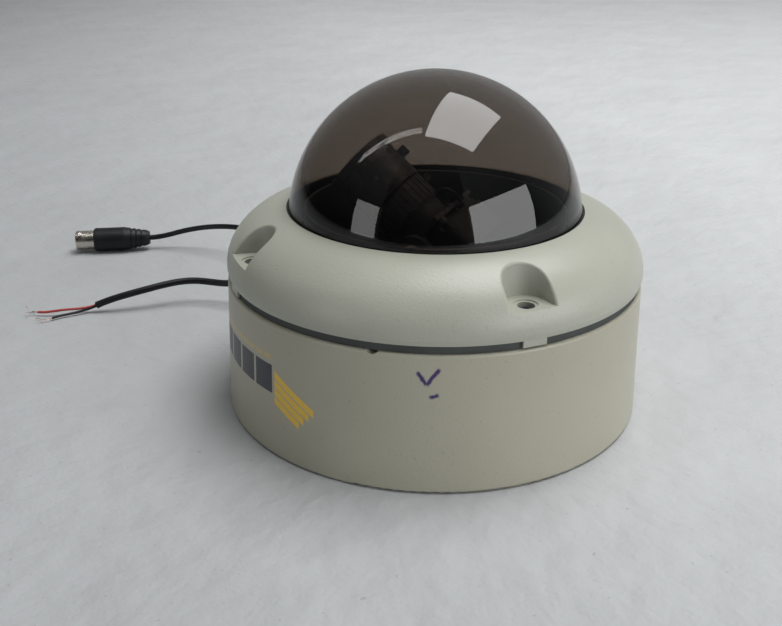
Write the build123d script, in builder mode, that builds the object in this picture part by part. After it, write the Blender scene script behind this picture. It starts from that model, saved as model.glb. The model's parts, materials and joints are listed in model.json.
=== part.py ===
from build123d import *
import math
import os

# Vandal-resistant dome camera with a varifocal lens on a pan and tilt gimbal.
# Millimetres. The origin is the centre of the mounting face, +Z rises through the dome,
# the cover screws stand at 45 degrees to X and Y, and the cables leave on the -X side.

# ---- driving dimensions -------------------------------------------------------------

FIT = 0.05                       # radial clearance of a shaft in its hole
SEAT = 0.05                      # gap left between two stacked faces
SCREW_R = 1.45                   # M3 shank
SMALL_SCREW_R = 1.2              # M2.5 shank

# base casting
BASE_R_BOTTOM = 75.2
BASE_R_TOP = 73.4
BASE_HEIGHT = 47.0
BASE_WALL = 3.4
BASE_FLOOR = 3.5
BASE_EDGE_R = 1.0
DRAIN_R = 2.4
DRAIN_DEPTH = 1.0
DRAIN_AZIMUTH = -84.0
SCREW_BORE_DEPTH = 14.0
MOUNT_HOLE_R = 2.5
MOUNT_CIRCLE_R = 55.0
MOUNT_PAD_R = 6.0
MOUNT_PAD_HEIGHT = 1.5

# joint between base and cover
SEAM = 2.85
GASKET_R_IN = 71.1
GASKET_R_OUT = 72.3
COVER_Z = BASE_HEIGHT + SEAM

# cover casting
COVER_R_EDGE = 73.2
COVER_WALL = 3.0
SHOULDER_Z = 51.5                # height of the centre of the elliptical shoulder
SHOULDER_R = 47.3                # radius of the centre of the elliptical shoulder
SHOULDER_A = 26.2                # radial half-axis of the shoulder
SHOULDER_B = 19.6                # vertical half-axis of the shoulder
COVER_R_WALL = SHOULDER_R + SHOULDER_A
OPENING_R = 52.1

# screw pockets in the cover
POCKET_COUNT = 4
POCKET_CIRCLE_R = 66.4
POCKET_FLOOR_Z = 58.6
POCKET_R = 7.1
POCKET_FLARE = 8.0               # degrees by which each side opens outwards
POCKET_DRAFT = 4.0
POCKET_WALL = 2.4
RECESS_R = 3.75
RECESS_DEPTH = 0.4
HEAD_HOLE_R = 2.75
HEAD_R = 2.55
HEAD_DEPTH = 1.5                 # screw head below the pocket floor
HEAD_HEIGHT = 2.0
RIM_FILLET = 0.8
TUBE_R = 4.4
TAB_WIDTH = 8.0
TAB_THICK = 0.8
TAB_HEIGHT = 2.2

# dome bubble and its clamping
DOME_R = 51.6
DOME_WALL = 2.4
DOME_CENTRE_Z = 65.3
FLANGE_R = 56.0
FLANGE_Z = 60.0
FLANGE_THICK = 1.6
SEAL_THICK = 1.0
RETAINER_R = 56.3
RETAINER_THICK = 2.0
RETAINER_SCREW_R = 60.2
RETAINER_BORE_DEPTH = 4.5
BOSS_R = 3.2

# cable entry
ENTRY_AZIMUTH = 155.0
ENTRY_Z = 20.0
ENTRY_R = 9.0
ENTRY_IN = 68.0                  # inner face of the thickened wall
ENTRY_OUT = 73.5                 # buried in the wall
CABLE_PITCH = 4.2                # each cable stands this far from the middle of the grommet
VIDEO_R = 1.3
POWER_R = 1.5
WIRE_R = 0.55
WIRE_PITCH = 0.65
STRAND_R = 0.11

# coaxial connector
BNC_TIP = Vector(-217.3, 62.8, 5.95)
BNC_ANGLE = 30.7                 # degrees from +X, seen from above, tip to tail
BNC_R = 4.8
BNC_LENGTH = 9.4
BNC_BORE_R = 4.1
MOULD_R = 5.9
MOULD_LENGTH = 27.6

# gimbal
PIVOT_Z = 58.4
LENS_ELEVATION = 39.5
PLATE_R = 44.4
PLATE_Z = 27.0
PLATE_THICK = 3.0
LINER_TOP_Z = 70.3
LINER_R_TOP = 46.2
LINER_R_BOTTOM = 44.6
LINER_WALL = 1.3
POST_CIRCLE_R = 39.6
POST_AZIMUTHS = (90.0, 210.0, 330.0)
HUB_R = 14.0
HUB_HOLE_R = 9.0
TURNTABLE_R = 33.0
TURNTABLE_THICK = 2.7
YOKE_IN = 18.6
YOKE_THICK = 1.8
YOKE_WIDTH = 13.0
EAR_R = 6.5
YOKE_SCREW_Y = 15.9
TILT_SCREW_R = 1.95
FRAME_OUT = 17.8
FRAME_THICK = 1.4

# camera module, distances along the lens axis from the tilt pivot
BOARD = 30.0
BOARD_THICK = 1.6
BOARD_HOLE_AT = 12.5
REAR_BOARD_AT = -9.6
CAP_SIZE = 32.6
CAP_WALL = 1.0
CAP_BACK = -13.5
FRAME_BACK = 2.2
HOLDER_R = 10.5
HOLDER_FRONT = 10.1
THREAD_R = 8.5
BARREL_R = 9.5
BARREL_BORE_R = 8.55
BARREL_FRONT = 33.2
ZOOM_BACK = 11.0
ZOOM_FRONT = 19.9
ZOOM_R = 12.0
FOCUS_BACK = 20.5
FOCUS_R = 12.5
RIM_BACK = 35.7
RIM_FRONT = 38.7
RIM_R = 13.45
HEAD_BORE_R = 10.95
FRONT_GLASS_R = 9.75
LOCK_ANGLE = -58.0               # round the lens axis, in the lens frame
ZOOM_LOCK_AT = 16.6
FOCUS_LOCK_AT = 29.4

# ---- frames -------------------------------------------------------------------------

ELEVATION = math.radians(LENS_ELEVATION)
LENS_DIR = Vector(-math.cos(ELEVATION), 0, math.sin(ELEVATION))
SECTION_DIR = Vector(math.sin(ELEVATION), 0, math.cos(ELEVATION))
PIVOT = Vector(0, 0, PIVOT_Z)
LENS = Plane(origin=PIVOT, x_dir=(0, 1, 0), z_dir=LENS_DIR)
LENS_SECTION = Plane(origin=PIVOT, x_dir=(0, 1, 0), z_dir=SECTION_DIR)
LENS_AXIS = Axis(PIVOT, LENS_DIR)
PLATE_TOP = PLATE_Z + PLATE_THICK
TURNTABLE_Z = PLATE_TOP + 0.3
TURNTABLE_TOP = TURNTABLE_Z + TURNTABLE_THICK
SEAT_Z = FLANGE_Z + FLANGE_THICK + SEAL_THICK + 2 * SEAT
ENTRY_TURN = math.radians(ENTRY_AZIMUTH)
ENTRY_DIR = Vector(math.cos(ENTRY_TURN), math.sin(ENTRY_TURN), 0)
ENTRY = Plane(
    origin=(0, 0, ENTRY_Z),
    x_dir=(math.sin(ENTRY_TURN), -math.cos(ENTRY_TURN), 0),
    z_dir=ENTRY_DIR,
)
BNC_TURN = math.radians(BNC_ANGLE)
BNC_TAIL_DIR = Vector(math.cos(BNC_TURN), math.sin(BNC_TURN), 0)
BNC_AXIS = Axis(BNC_TIP, BNC_TAIL_DIR)
BNC_SIDE_DIR = Vector(math.sin(BNC_TURN), -math.cos(BNC_TURN), 0)
BNC_SECTION = Plane(origin=BNC_TIP, x_dir=BNC_TAIL_DIR, z_dir=BNC_SIDE_DIR)

os.makedirs("parts", exist_ok=True)


# ---- helpers ------------------------------------------------------------------------

def save(part, name):
    """Label one piece and write it to its own file."""
    part.label = name
    export_step(part, f"parts/{name}.step")


def around_z(*corners):
    """A solid turned about Z from the corners of its section, given as (radius, height)."""
    with BuildPart() as piece:
        with BuildSketch(Plane.XZ):
            with BuildLine():
                Polyline(*corners, close=True)
            make_face()
        revolve(axis=Axis.Z)
    return piece.part


def around_lens(*corners):
    """A solid turned about the lens axis, corners given as (radius, distance from pivot)."""
    with BuildPart() as piece:
        with BuildSketch(LENS_SECTION):
            with BuildLine():
                Polyline(*corners, close=True)
            make_face()
        revolve(axis=LENS_AXIS)
    return piece.part


def along(points, radius, start_dir, end_dir):
    """A round cable of one radius swept through the points."""
    with BuildPart() as piece:
        with BuildLine():
            course = Spline(*points, tangents=(start_dir, end_dir))
        with BuildSketch(Plane(course @ 0, z_dir=course % 0)):
            Circle(radius)
        sweep()
    return piece.part


def pan_screw(plane, head_r, head_height, shank_r, shank_length):
    """A screw with its head above the plane, its shank below and a hexagon socket in the head."""
    with BuildPart() as piece:
        with BuildSketch(plane):
            Circle(head_r)
        extrude(amount=head_height)
        chamfer(piece.faces().sort_by(Axis(plane.origin, plane.z_dir))[-1].edges(), head_height / 6)
        with BuildSketch(plane):
            Circle(shank_r)
        extrude(amount=-shank_length)
        with BuildSketch(plane.offset(head_height)):
            RegularPolygon(head_r / 2, 6)
        extrude(amount=-head_height * 0.6, mode=Mode.SUBTRACT)
    return piece.part


def shoulder_height(radius, inset):
    """Height of the elliptical shoulder, or of its inner face, at one radius."""
    reach = (radius - SHOULDER_R) / (SHOULDER_A - inset)
    return SHOULDER_Z + (SHOULDER_B - inset) * math.sqrt(1 - reach ** 2)


def shoulder_angle(radius, inset):
    """Angle round the shoulder ellipse, from the wall, at which it comes in to one radius."""
    return math.degrees(math.acos((radius - SHOULDER_R) / (SHOULDER_A - inset)))


# ---- base casting -------------------------------------------------------------------

DRAFT = (BASE_R_BOTTOM - BASE_R_TOP) / BASE_HEIGHT
INNER_R_FLOOR = BASE_R_BOTTOM - BASE_WALL - DRAFT * BASE_FLOOR
INNER_R_TOP = BASE_R_TOP - BASE_WALL

with BuildPart() as base_housing:
    with BuildSketch(Plane.XZ):
        with BuildLine():
            Polyline(
                (0, 0),
                (BASE_R_BOTTOM, 0),
                (BASE_R_TOP, BASE_HEIGHT),
                (INNER_R_TOP, BASE_HEIGHT),
                (INNER_R_FLOOR, BASE_FLOOR),
                (0, BASE_FLOOR),
                close=True,
            )
        make_face()
    revolve(axis=Axis.Z)
    rims = base_housing.edges().filter_by(GeomType.CIRCLE)
    fillet(rims.filter_by(lambda edge: edge.radius > BASE_R_TOP - FIT), BASE_EDGE_R)
    # pillars that take the cover screws
    with BuildSketch(Plane.XY.offset(BASE_FLOOR)):
        with PolarLocations(POCKET_CIRCLE_R, POCKET_COUNT, start_angle=45):
            Circle(TUBE_R)
            with Locations((TUBE_R / 2, 0)):
                Rectangle(TUBE_R, TUBE_R)
    extrude(amount=BASE_HEIGHT - BASE_FLOOR)
    with BuildSketch(Plane.XY.offset(BASE_HEIGHT)):
        with PolarLocations(POCKET_CIRCLE_R, POCKET_COUNT, start_angle=45):
            Circle(SCREW_R + FIT)
    extrude(amount=-SCREW_BORE_DEPTH, mode=Mode.SUBTRACT)
    # posts that carry the gimbal plate
    with BuildSketch(Plane.XY.offset(BASE_FLOOR)):
        for azimuth in POST_AZIMUTHS:
            with PolarLocations(POST_CIRCLE_R, 1, start_angle=azimuth):
                Circle(TUBE_R)
    extrude(amount=PLATE_Z - SEAT - BASE_FLOOR)
    with BuildSketch(Plane.XY.offset(PLATE_Z)):
        for azimuth in POST_AZIMUTHS:
            with PolarLocations(POST_CIRCLE_R, 1, start_angle=azimuth):
                Circle(SCREW_R + FIT)
    extrude(amount=-SCREW_BORE_DEPTH, mode=Mode.SUBTRACT)
    # raised pads and holes for the mounting screws
    with BuildSketch(Plane.XY.offset(BASE_FLOOR)):
        with PolarLocations(MOUNT_CIRCLE_R, POCKET_COUNT):
            Circle(MOUNT_PAD_R)
    extrude(amount=MOUNT_PAD_HEIGHT)
    with BuildSketch(Plane.XY):
        with PolarLocations(MOUNT_CIRCLE_R, POCKET_COUNT):
            Circle(MOUNT_HOLE_R)
    extrude(amount=BASE_FLOOR + MOUNT_PAD_HEIGHT, mode=Mode.SUBTRACT)
    # thickened wall and hole of the cable entry
    with BuildSketch(ENTRY.offset(ENTRY_IN)):
        Circle(ENTRY_R + BASE_WALL)
    extrude(amount=ENTRY_OUT - ENTRY_IN)
    with BuildSketch(ENTRY.offset(ENTRY_IN)):
        Circle(ENTRY_R)
    extrude(amount=BASE_R_BOTTOM, mode=Mode.SUBTRACT)
    # shallow drain notch through the rim
    turn = math.radians(DRAIN_AZIMUTH)
    outward = Vector(math.cos(turn), math.sin(turn), 0)
    above_rim = Vector(0, 0, BASE_HEIGHT + DRAIN_R - DRAIN_DEPTH)
    with BuildSketch(Plane(origin=above_rim + outward * INNER_R_TOP, z_dir=outward)):
        Circle(DRAIN_R)
    extrude(amount=2 * BASE_WALL, mode=Mode.SUBTRACT)
save(base_housing.part, "base_housing")

# rubber ring between the two castings
GASKET_TOP = COVER_Z - SEAT
with BuildPart() as lid_gasket:
    add(
        around_z(
            (GASKET_R_IN, BASE_HEIGHT + SEAT / 2),
            (GASKET_R_OUT, BASE_HEIGHT + SEAT / 2),
            (GASKET_R_OUT, GASKET_TOP),
            (GASKET_R_IN, GASKET_TOP),
        )
    )
save(lid_gasket.part, "lid_gasket")

# ---- cover casting ------------------------------------------------------------------

INNER_WALL_R = COVER_R_WALL - COVER_WALL
OPENING_Z = shoulder_height(OPENING_R, 0)
SEAT_RIM_R = RETAINER_R + 0.9
TUBE_BOTTOM = BASE_HEIGHT + SEAT

# hollow of the cover: everything inside the wall except the pocket walls and the bosses
with BuildPart() as cavity:
    with BuildSketch(Plane.XZ):
        with BuildLine():
            Polyline(
                (0, COVER_Z - 1),
                (INNER_WALL_R, COVER_Z - 1),
                (INNER_WALL_R, SHOULDER_Z),
            )
            inner_shoulder = EllipticalCenterArc(
                (SHOULDER_R, SHOULDER_Z),
                SHOULDER_A - COVER_WALL,
                SHOULDER_B - COVER_WALL,
                start_angle=0,
                arc_size=shoulder_angle(SEAT_RIM_R, COVER_WALL),
            )
            Polyline(
                inner_shoulder @ 1,
                (SEAT_RIM_R, SEAT_Z),
                (OPENING_R, SEAT_Z),
                (OPENING_R, OPENING_Z + 1),
                (0, OPENING_Z + 1),
                (0, COVER_Z - 1),
            )
        make_face()
    revolve(axis=Axis.Z)
    # walls and floors of the screw pockets
    with BuildSketch(Plane.XY.offset(POCKET_FLOOR_Z - POCKET_WALL)):
        with PolarLocations(POCKET_CIRCLE_R, POCKET_COUNT, start_angle=45):
            Circle(POCKET_R + POCKET_WALL)
            with Locations((POCKET_R, 0)):
                Rectangle(2 * POCKET_R, 2 * (POCKET_R + POCKET_WALL))
    extrude(amount=OPENING_Z, mode=Mode.SUBTRACT)
    # bosses for the screws of the dome retainer
    with BuildSketch(Plane.XY.offset(FLANGE_Z + SEAT)):
        with PolarLocations(RETAINER_SCREW_R, POCKET_COUNT):
            Circle(BOSS_R)
    extrude(amount=OPENING_Z, mode=Mode.SUBTRACT)

# one screw pocket: a drafted U that opens through the shoulder
with BuildPart() as pocket:
    with BuildSketch(Plane.XY.offset(POCKET_FLOOR_Z)):
        with BuildLine():
            bend = CenterArc((POCKET_CIRCLE_R, 0), POCKET_R, 90 + POCKET_FLARE, 180 - 2 * POCKET_FLARE)
            lower = PolarLine(bend @ 1, 2 * POCKET_R, -POCKET_FLARE)
            upper = PolarLine(bend @ 0, 2 * POCKET_R, POCKET_FLARE)
            Line(lower @ 1, upper @ 1)
        make_face()
    extrude(amount=OPENING_Z - POCKET_FLOOR_Z, taper=-POCKET_DRAFT)

with BuildPart() as cover_shell:
    with BuildSketch(Plane.XZ):
        with BuildLine():
            Polyline(
                (0, COVER_Z),
                (COVER_R_EDGE, COVER_Z),
                (COVER_R_WALL, SHOULDER_Z),
            )
            outer_shoulder = EllipticalCenterArc(
                (SHOULDER_R, SHOULDER_Z),
                SHOULDER_A,
                SHOULDER_B,
                start_angle=0,
                arc_size=shoulder_angle(OPENING_R - 1, 0),
            )
            Polyline(
                outer_shoulder @ 1,
                (0, (outer_shoulder @ 1).Y),
                (0, COVER_Z),
            )
        make_face()
    revolve(axis=Axis.Z)
    for turn in range(POCKET_COUNT):
        add(pocket.part.rotate(Axis.Z, 45 + turn * 90), mode=Mode.SUBTRACT)
    pocket_rims = cover_shell.edges().filter_by(GeomType.BSPLINE)
    fillet(pocket_rims.filter_by(lambda edge: edge.center().Z > POCKET_FLOOR_Z + 1), RIM_FILLET)
    add(cavity.part, mode=Mode.SUBTRACT)
    # tubes that carry the cover screws down to the pillars of the base
    with BuildSketch(Plane.XY.offset(TUBE_BOTTOM)):
        with PolarLocations(POCKET_CIRCLE_R, POCKET_COUNT, start_angle=45):
            Circle(TUBE_R)
    extrude(amount=POCKET_FLOOR_Z - POCKET_WALL / 2 - TUBE_BOTTOM)
    # locating tabs under the edge
    with BuildSketch(Plane.XY.offset(COVER_Z)):
        with PolarLocations(COVER_R_EDGE - TAB_THICK / 2, POCKET_COUNT, start_angle=45):
            Rectangle(TAB_THICK, TAB_WIDTH)
    extrude(amount=-TAB_HEIGHT)
    # screw seats
    with BuildSketch(Plane.XY.offset(POCKET_FLOOR_Z)):
        with PolarLocations(POCKET_CIRCLE_R, POCKET_COUNT, start_angle=45):
            Circle(RECESS_R)
    extrude(amount=-RECESS_DEPTH, mode=Mode.SUBTRACT)
    with BuildSketch(Plane.XY.offset(POCKET_FLOOR_Z)):
        with PolarLocations(POCKET_CIRCLE_R, POCKET_COUNT, start_angle=45):
            Circle(HEAD_HOLE_R)
    extrude(amount=-HEAD_DEPTH - HEAD_HEIGHT - SEAT, mode=Mode.SUBTRACT)
    with BuildSketch(Plane.XY.offset(POCKET_FLOOR_Z)):
        with PolarLocations(POCKET_CIRCLE_R, POCKET_COUNT, start_angle=45):
            Circle(SCREW_R + 4 * FIT)
    extrude(amount=TUBE_BOTTOM - POCKET_FLOOR_Z, mode=Mode.SUBTRACT)
    # threaded holes of the retainer screws
    with BuildSketch(Plane.XY.offset(FLANGE_Z)):
        with PolarLocations(RETAINER_SCREW_R, POCKET_COUNT):
            Circle(SMALL_SCREW_R + FIT)
    extrude(amount=RETAINER_BORE_DEPTH, mode=Mode.SUBTRACT)
save(cover_shell.part, "cover_shell")

# smoked bubble: a spherical cap on a short skirt with a clamping flange
with BuildPart() as dome_bubble:
    with BuildSketch(Plane.XZ):
        with BuildLine():
            Polyline(
                (DOME_R, DOME_CENTRE_Z),
                (DOME_R, FLANGE_Z + FLANGE_THICK),
                (FLANGE_R, FLANGE_Z + FLANGE_THICK),
                (FLANGE_R, FLANGE_Z),
                (DOME_R - DOME_WALL, FLANGE_Z),
                (DOME_R - DOME_WALL, DOME_CENTRE_Z),
            )
            CenterArc((0, DOME_CENTRE_Z), DOME_R, 0, 90)
            CenterArc((0, DOME_CENTRE_Z), DOME_R - DOME_WALL, 0, 90)
            Line((0, DOME_CENTRE_Z + DOME_R - DOME_WALL), (0, DOME_CENTRE_Z + DOME_R))
        make_face()
    revolve(axis=Axis.Z)
save(dome_bubble.part, "dome_bubble")

# rubber seal: a flat ring over the flange and a sleeve that fills the opening
SEAL_TOP = OPENING_Z - 0.25
SEAL_R_OUT = FLANGE_R - 0.2
SEAL_REACH = math.degrees(math.asin((SEAL_TOP - DOME_CENTRE_Z) / (DOME_R + SEAT)))
with BuildPart() as dome_seal:
    with BuildSketch(Plane.XZ):
        with BuildLine():
            sleeve = CenterArc((0, DOME_CENTRE_Z), DOME_R + SEAT, 0, SEAL_REACH)
            Polyline(
                sleeve @ 1,
                (OPENING_R - SEAT, SEAL_TOP),
                (OPENING_R - SEAT, SEAT_Z - SEAT),
                (SEAL_R_OUT, SEAT_Z - SEAT),
                (SEAL_R_OUT, SEAT_Z - SEAT - SEAL_THICK),
                (DOME_R + SEAT, SEAT_Z - SEAT - SEAL_THICK),
                sleeve @ 0,
            )
        make_face()
    revolve(axis=Axis.Z)
save(dome_seal.part, "dome_seal")

# ring that clamps the flange of the bubble, with four screw ears
RETAINER_R_IN = DOME_R - DOME_WALL + 0.8
SMALL_HEAD_R = 2.3
SMALL_HEAD_HEIGHT = 1.5
with BuildPart() as dome_retainer:
    with BuildSketch(Plane.XY.offset(FLANGE_Z - SEAT)):
        Circle(RETAINER_R)
        with PolarLocations(RETAINER_SCREW_R, POCKET_COUNT):
            Circle(BOSS_R)
            with Locations((-BOSS_R, 0)):
                Rectangle(2 * BOSS_R, 2 * BOSS_R)
        Circle(RETAINER_R_IN, mode=Mode.SUBTRACT)
        with PolarLocations(RETAINER_SCREW_R, POCKET_COUNT):
            Circle(SMALL_SCREW_R + 2 * FIT, mode=Mode.SUBTRACT)
    extrude(amount=-RETAINER_THICK)
save(dome_retainer.part, "dome_retainer")

with BuildPart() as retainer_screws:
    for turn in range(POCKET_COUNT):
        under_ring = FLANGE_Z - RETAINER_THICK - 2 * SEAT
        seat = Plane(origin=(RETAINER_SCREW_R, 0, under_ring), z_dir=(0, 0, -1))
        length = RETAINER_THICK + RETAINER_BORE_DEPTH - 0.5
        screw = pan_screw(seat, SMALL_HEAD_R, SMALL_HEAD_HEIGHT, SMALL_SCREW_R, length)
        add(screw.rotate(Axis.Z, turn * 90))
save(retainer_screws.part, "retainer_screws")

# black tamper-proof screws sunk below the pocket floors
COVER_SCREW_GRIP = 10.0
with BuildPart() as cover_screws:
    for turn in range(POCKET_COUNT):
        seat = Plane.XY.offset(POCKET_FLOOR_Z - HEAD_DEPTH - HEAD_HEIGHT)
        length = seat.origin.Z - BASE_HEIGHT + COVER_SCREW_GRIP
        screw = pan_screw(seat, HEAD_R, HEAD_HEIGHT, SCREW_R, length)
        add((Pos(POCKET_CIRCLE_R, 0, 0) * screw).rotate(Axis.Z, 45 + turn * 90))
save(cover_screws.part, "cover_screws")

# ---- cables -------------------------------------------------------------------------

# rubber bush of the cable entry: a flange inside, a rounded face outside, two cable holes
BUSH_FLANGE = 2.0
BUSH_FACE = 76.5                 # distance of the outer face from the dome axis
BUSH_ROUND = 1.2
with BuildPart() as cable_grommet:
    with BuildSketch(ENTRY.offset(ENTRY_IN - SEAT)):
        Circle(ENTRY_R + BUSH_FLANGE)
    extrude(amount=-BUSH_FLANGE)
    with BuildSketch(ENTRY.offset(ENTRY_IN - SEAT)):
        Circle(ENTRY_R - FIT)
    extrude(amount=BUSH_FACE - ENTRY_IN)
    fillet(cable_grommet.faces().sort_by(Axis((0, 0, 0), ENTRY_DIR))[-1].edges(), BUSH_ROUND)
    with BuildSketch(ENTRY.offset(ENTRY_IN - 2 * BUSH_FLANGE)):
        with Locations((CABLE_PITCH, 0)):
            Circle(VIDEO_R + FIT)
        with Locations((-CABLE_PITCH, 0)):
            Circle(POWER_R + FIT)
    extrude(amount=BUSH_FACE, mode=Mode.SUBTRACT)
save(cable_grommet.part, "cable_grommet")

# cables: from the connector or the jacket end, through the bush, to the harness inside
TAIL = BNC_TIP + BNC_TAIL_DIR * (BNC_LENGTH + MOULD_LENGTH)
INSIDE = 20.0
OUTSIDE = BUSH_FACE + 2.0


def entry_cable(side, radius, start, start_dir, outside):
    """A cable from its free end, through the outside points, straight in through the bush."""
    hole = ENTRY.from_local_coords((side, 0, OUTSIDE))
    free = along([start, *outside, hole], radius, start_dir, ENTRY_DIR * -1)
    with BuildPart() as piece:
        add(free)
        with BuildSketch(Plane(hole, z_dir=ENTRY_DIR * -1)):
            Circle(radius)
        extrude(amount=OUTSIDE - INSIDE)
    return piece.part


video_cable = entry_cable(
    CABLE_PITCH,
    VIDEO_R,
    TAIL,
    BNC_TAIL_DIR,
    [(-171.3, 87.9, 9.0), (-148.7, 91.0, 14.0), (-116.0, 80.0, 18.0)],
)
save(video_cable, "video_cable")

JACKET_END = Vector(-158.8, 4.2, 3.0)
JACKET_DIR = Vector(0.80, 0.45, 0.4).normalized()
power_cable_body = entry_cable(
    -CABLE_PITCH,
    POWER_R,
    JACKET_END,
    JACKET_DIR,
    [(-141.6, 16.6, 8.5), (-124.8, 31.0, 10.2), (-110.1, 34.5, 10.0)],
)

# the jacket is open at its end for two insulated wires
END_PLANE = Plane(JACKET_END, x_dir=(-0.45, 0.80, 0), z_dir=JACKET_DIR)
WIRE_DEPTH = 3.0
with BuildPart() as power_cable:
    add(power_cable_body)
    with BuildSketch(END_PLANE):
        with Locations((WIRE_PITCH, 0), (-WIRE_PITCH, 0)):
            Circle(WIRE_R + FIT)
    extrude(amount=WIRE_DEPTH, mode=Mode.SUBTRACT)
save(power_cable.part, "power_cable")


def wire(side, points, end_dir):
    """An insulated wire, from inside the end of the jacket through the points."""
    root = END_PLANE.from_local_coords((side * WIRE_PITCH, 0, WIRE_DEPTH - SEAT))
    mouth = END_PLANE.from_local_coords((side * WIRE_PITCH, 0, 0))
    free = along([mouth, *points], WIRE_R, JACKET_DIR * -1, end_dir)
    with BuildPart() as piece:
        add(free)
        with BuildSketch(Plane(mouth, z_dir=JACKET_DIR)):
            Circle(WIRE_R)
        extrude(amount=(root - mouth).length)
    return piece.part


RED_END = Vector(-179.7, -9.4, 1.5)
RED_DIR = Vector(-0.97, -0.24, 0)
BLACK_END = Vector(-170.6, -11.3, 1.0)
BLACK_DIR = Vector(-0.3, -0.95, 0)
red_wire = wire(1, [(-170.6, -4.8, 2.2), RED_END], RED_DIR)
save(red_wire, "red_wire")
black_wire = wire(-1, [(-166.4, -4.6, 1.1), BLACK_END], BLACK_DIR)
save(black_wire, "black_wire")


ROOT_LENGTH = 0.8


def strands(tip, tip_dir, ends):
    """Bare copper filaments that splay out of the end of a wire, joined at a twisted root."""
    with BuildPart() as piece:
        with BuildSketch(Plane(tip + tip_dir.normalized() * SEAT, z_dir=tip_dir)):
            Circle(WIRE_R * 0.6)
        extrude(amount=ROOT_LENGTH)
        root = tip + tip_dir.normalized() * ROOT_LENGTH / 2
        for end, end_dir in ends:
            add(along([root, end], STRAND_R, tip_dir, end_dir))
    return piece.part


red_strands = strands(
    RED_END,
    RED_DIR,
    [
        (Vector(-183.6, -7.4, 0.6), Vector(-0.5, 0.8, 0)),
        (Vector(-185.0, -10.4, 4.0), Vector(-0.4, 0, 0.9)),
        (Vector(-182.7, -13.6, 0.5), Vector(0.6, -0.8, 0)),
        (Vector(-184.6, -12.2, 1.4), Vector(-0.7, -0.7, 0)),
    ],
)
save(red_strands, "red_wire_strands")
black_strands = strands(
    BLACK_END,
    BLACK_DIR,
    [
        (Vector(-177.6, -13.4, 0.9), Vector(-1, 0.5, 0)),
        (Vector(-175.4, -16.0, 1.8), Vector(-0.9, -0.2, 0.4)),
        (Vector(-172.6, -15.8, 0.5), Vector(-0.6, -0.8, 0)),
    ],
)
save(black_strands, "black_wire_strands")

# ---- coaxial connector --------------------------------------------------------------


def around_bnc(*corners):
    """A solid turned about the connector axis, corners given as (distance from tip, radius)."""
    with BuildPart() as piece:
        with BuildSketch(BNC_SECTION):
            with BuildLine():
                Polyline(*corners, close=True)
            make_face()
        revolve(axis=BNC_AXIS)
    return piece.part


BARREL_WALL = BNC_R - BNC_BORE_R
TAIL_R = BNC_R - 1.0             # thinner end of the barrel, inside the mould
BARREL_END = BNC_LENGTH + 8.0
LUG_AT = 3.0
LUG_R = 0.95
LUG_HEIGHT = 0.9
LUG_TURN = math.radians(52)      # height angle of the lug that faces the front
with BuildPart() as bnc_barrel:
    add(
        around_bnc(
            (0.4, BNC_R - 0.3),
            (0.7, BNC_R),
            (BNC_LENGTH, BNC_R),
            (BNC_LENGTH, TAIL_R),
            (BARREL_END, TAIL_R),
            (BARREL_END, TAIL_R - 1.2),
            (BNC_LENGTH - 1, TAIL_R - 1.2),
            (BNC_LENGTH - 1, BNC_BORE_R),
            (0.4, BNC_BORE_R),
        )
    )
    # two bayonet lugs
    for side in (1, -1):
        lug_dir = (BNC_SIDE_DIR * math.cos(LUG_TURN) + Vector(0, 0, math.sin(LUG_TURN))) * side
        foot = BNC_TIP + BNC_TAIL_DIR * LUG_AT + lug_dir * (BNC_R - BARREL_WALL / 2)
        with BuildSketch(Plane(foot, z_dir=lug_dir)):
            Circle(LUG_R)
        extrude(amount=BARREL_WALL / 2 + LUG_HEIGHT)
save(bnc_barrel.part, "bnc_barrel")

INSULATOR_R = 2.4
PIN_R = 0.72
SLEEVE_R = 1.0                   # socket of the centre contact
bnc_insulator = around_bnc(
    (1.5, INSULATOR_R),
    (BARREL_END - 1, INSULATOR_R),
    (BARREL_END - 1, PIN_R + 0.1),
    (6, PIN_R + 0.1),
    (6, SLEEVE_R + 0.1),
    (1.5, SLEEVE_R + 0.1),
)
save(bnc_insulator, "bnc_insulator")

bnc_contact = around_bnc(
    (2.0, SLEEVE_R),
    (5.9, SLEEVE_R),
    (5.9, PIN_R),
    (BARREL_END, PIN_R),
    (BARREL_END, 0),
    (5.0, 0),
    (5.0, SLEEVE_R / 2),
    (2.0, SLEEVE_R / 2),
)
save(bnc_contact, "bnc_contact")

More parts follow.
